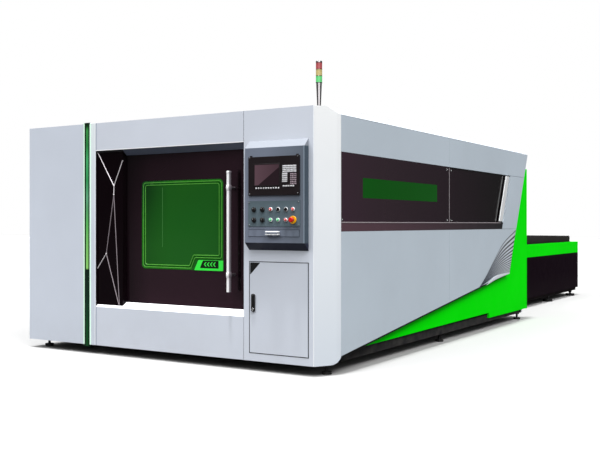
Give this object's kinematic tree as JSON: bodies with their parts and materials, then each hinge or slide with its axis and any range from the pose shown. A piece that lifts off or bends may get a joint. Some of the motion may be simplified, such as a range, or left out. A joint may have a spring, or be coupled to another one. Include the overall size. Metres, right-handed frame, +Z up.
{
  "type": "fiber laser cutting machine",
  "caption": "Enclosed laser cutter for sheet metal with a sliding front door, an operator console and a two-level pallet exchange table behind.",
  "frame": {"origin": "middle of the footprint, on the floor", "axes": "+Z up, -Y out of the front with the door and the console, +X towards the side with the window band; the exchange table lies along +Y"},
  "size_m": [3.291, 9.193, 2.467],
  "materials": {
    "front_paint": "satin",
    "side_paint": "satin",
    "roof_paint": "satin",
    "corner_paint": "satin",
    "green_paint": "semi-gloss",
    "dark_panel": "gloss",
    "dark_glass": "gloss",
    "green_glass": "gloss",
    "light_bar": "gloss",
    "white_paint": "satin",
    "console_paint": "satin",
    "screen_case": "matte",
    "screen": "gloss",
    "plate": "satin",
    "black_plastic": "satin",
    "red_plastic": "gloss",
    "green_plastic": "gloss",
    "amber_plastic": "gloss",
    "black_paint": "satin",
    "frame_paint": "satin",
    "bed_paint": "satin",
    "steel": "brushed",
    "slat_steel": "dark, burnt",
    "zinc": "zinc plated",
    "chrome": "polished",
    "inner_paint": "satin"
  },
  "bodies": {
    "machine": {"bed_rails": "steel", "button_plate": "plate", "cabinet_equipment": "inner_paint", "console_housing": "console_paint", "console_panel": "front_paint", "corner_cover": "corner_paint", "door_tracks": "zinc", "electrical_cabinet": "inner_paint", "frame_tubes": "frame_paint", "front_left_panels": "front_paint", "green_skirt": "green_paint", "header_and_sill_panels": "front_paint", "left_and_rear_walls": "side_paint", "levelling_feet": "black_paint", "light_bar": "light_bar", "machine_bed": "bed_paint", "pilaster_panel": "dark_panel", "right_lower_panels": "side_paint", "right_upper_panels": "side_paint", "roof_panels": "roof_paint", "screen_glass": "screen", "screen_unit": "screen_case", "side_fixed_glass": "dark_glass", "side_green_window": "green_glass", "side_rail_trim": "dark_panel", "table_frame": "black_paint", "table_side_panels": "black_paint", "table_side_rails": "green_paint", "tower_lens_amber": "amber_plastic", "tower_lens_green": "green_plastic", "tower_lens_red": "red_plastic", "tower_neck": "black_plastic"},
    "front_door": {"front_door_leaf": "dark_panel", "front_door_window": "green_glass", "front_door_handle": "chrome"},
    "side_door": {"side_door_leaf": "dark_glass", "side_door_handle": "white_paint"},
    "cabinet_door": {"cabinet_door": "front_paint", "cabinet_lock": "black_plastic"},
    "lock_lever": {"lock_lever": "black_plastic"},
    "keyboard_drawer": {"keyboard_drawer": "console_paint"},
    "emergency_stop": {"emergency_stop": "red_plastic"},
    "gantry": {"gantry_beam": "white_paint"},
    "carriage": {"carriage": "bed_paint"},
    "cutting_head": {"cutting_head": "steel"},
    "upper_pallet": {"upper_pallet_frame": "black_paint", "upper_pallet_slats": "slat_steel"},
    "lower_pallet": {"lower_pallet_frame": "black_paint", "lower_pallet_slats": "slat_steel"},
    "override_knob_1": {"override_knob_1": "black_plastic"},
    "override_knob_2": {"override_knob_2": "black_plastic"},
    "override_knob_3": {"override_knob_3": "black_plastic"},
    "override_knob_4": {"override_knob_4": "black_plastic"},
    "selector_1": {"selector_1": "black_plastic"},
    "selector_2": {"selector_2": "black_plastic"},
    "push_button_1": {"push_button_1": "red_plastic"},
    "push_button_2": {"push_button_2": "red_plastic"},
    "push_button_3": {"push_button_3": "green_plastic"},
    "push_button_4": {"push_button_4": "green_plastic"},
    "push_button_5": {"push_button_5": "red_plastic"}
  },
  "joints": [
    {"name": "front_door_slide", "type": "slide", "parent": "machine", "child": "front_door", "axis": [-1, 0, 0], "range_m": [0, 1]},
    {"name": "side_door_slide", "type": "slide", "parent": "machine", "child": "side_door", "axis": [0, -1, 0], "range_m": [0, 1.46]},
    {"name": "cabinet_door_hinge", "type": "hinge", "parent": "machine", "child": "cabinet_door", "pos_m": [1.461, -4.4855, 0.51], "axis": [0, 0, 1], "range_deg": [0, 110]},
    {"name": "lock_lever_hinge", "type": "hinge", "parent": "cabinet_door", "child": "lock_lever", "pos_m": [0.961, -4.5015, 0.6], "axis": [-1, 0, 0], "range_deg": [0, 40]},
    {"name": "keyboard_drawer_slide", "type": "slide", "parent": "machine", "child": "keyboard_drawer", "axis": [0, -1, 0], "range_m": [0, 0.2]},
    {"name": "override_knob_1_turn", "type": "hinge", "parent": "machine", "child": "override_knob_1", "pos_m": [1.0115, -4.5615, 1.2855], "axis": [0, 1, 0], "range_deg": [-135, 135]},
    {"name": "override_knob_2_turn", "type": "hinge", "parent": "machine", "child": "override_knob_2", "pos_m": [1.0115, -4.5615, 1.204], "axis": [0, 1, 0], "range_deg": [-135, 135]},
    {"name": "override_knob_3_turn", "type": "hinge", "parent": "machine", "child": "override_knob_3", "pos_m": [1.0915, -4.5615, 1.2855], "axis": [0, 1, 0], "range_deg": [-135, 135]},
    {"name": "override_knob_4_turn", "type": "hinge", "parent": "machine", "child": "override_knob_4", "pos_m": [1.0915, -4.5615, 1.204], "axis": [0, 1, 0], "range_deg": [-135, 135]},
    {"name": "selector_1_turn", "type": "hinge", "parent": "machine", "child": "selector_1", "pos_m": [1.2375, -4.5615, 1.2855], "axis": [0, 1, 0], "range_deg": [-45, 45]},
    {"name": "selector_2_turn", "type": "hinge", "parent": "machine", "child": "selector_2", "pos_m": [1.309, -4.5615, 1.2855], "axis": [0, 1, 0], "range_deg": [-45, 45]},
    {"name": "push_button_1_press", "type": "slide", "parent": "machine", "child": "push_button_1", "axis": [0, 1, 0], "range_m": [0, 0.003], "stiffness_N_per_m": 600, "springref_m": -0.003},
    {"name": "push_button_2_press", "type": "slide", "parent": "machine", "child": "push_button_2", "axis": [0, 1, 0], "range_m": [0, 0.003], "stiffness_N_per_m": 600, "springref_m": -0.003},
    {"name": "push_button_3_press", "type": "slide", "parent": "machine", "child": "push_button_3", "axis": [0, 1, 0], "range_m": [0, 0.003], "stiffness_N_per_m": 600, "springref_m": -0.003},
    {"name": "push_button_4_press", "type": "slide", "parent": "machine", "child": "push_button_4", "axis": [0, 1, 0], "range_m": [0, 0.003], "stiffness_N_per_m": 600, "springref_m": -0.003},
    {"name": "push_button_5_press", "type": "slide", "parent": "machine", "child": "push_button_5", "axis": [0, 1, 0], "range_m": [0, 0.003], "stiffness_N_per_m": 600, "springref_m": -0.003},
    {"name": "emergency_stop_press", "type": "slide", "parent": "machine", "child": "emergency_stop", "axis": [0, 1, 0], "range_m": [0, 0.005], "stiffness_N_per_m": 1500, "springref_m": -0.004},
    {"name": "gantry_travel", "type": "slide", "parent": "machine", "child": "gantry", "axis": [0, -1, 0], "range_m": [0, 3.4]},
    {"name": "carriage_travel", "type": "slide", "parent": "gantry", "child": "carriage", "axis": [1, 0, 0], "range_m": [-1.08, 1.08]},
    {"name": "head_lift", "type": "slide", "parent": "carriage", "child": "cutting_head", "axis": [0, 0, 1], "range_m": [-0.09, 0.1]},
    {"name": "pallet_exchange", "type": "slide", "parent": "machine", "child": "upper_pallet", "axis": [0, -1, 0], "range_m": [0, 4.644]},
    {"name": "lower_pallet_exchange", "type": "slide", "parent": "machine", "child": "lower_pallet", "axis": [0, -1, 0], "range_m": [-4.644, 0]}
  ],
  "couplings": [
    {"joint": "lower_pallet_exchange", "follows": "pallet_exchange", "ratio": -1}
  ]
}
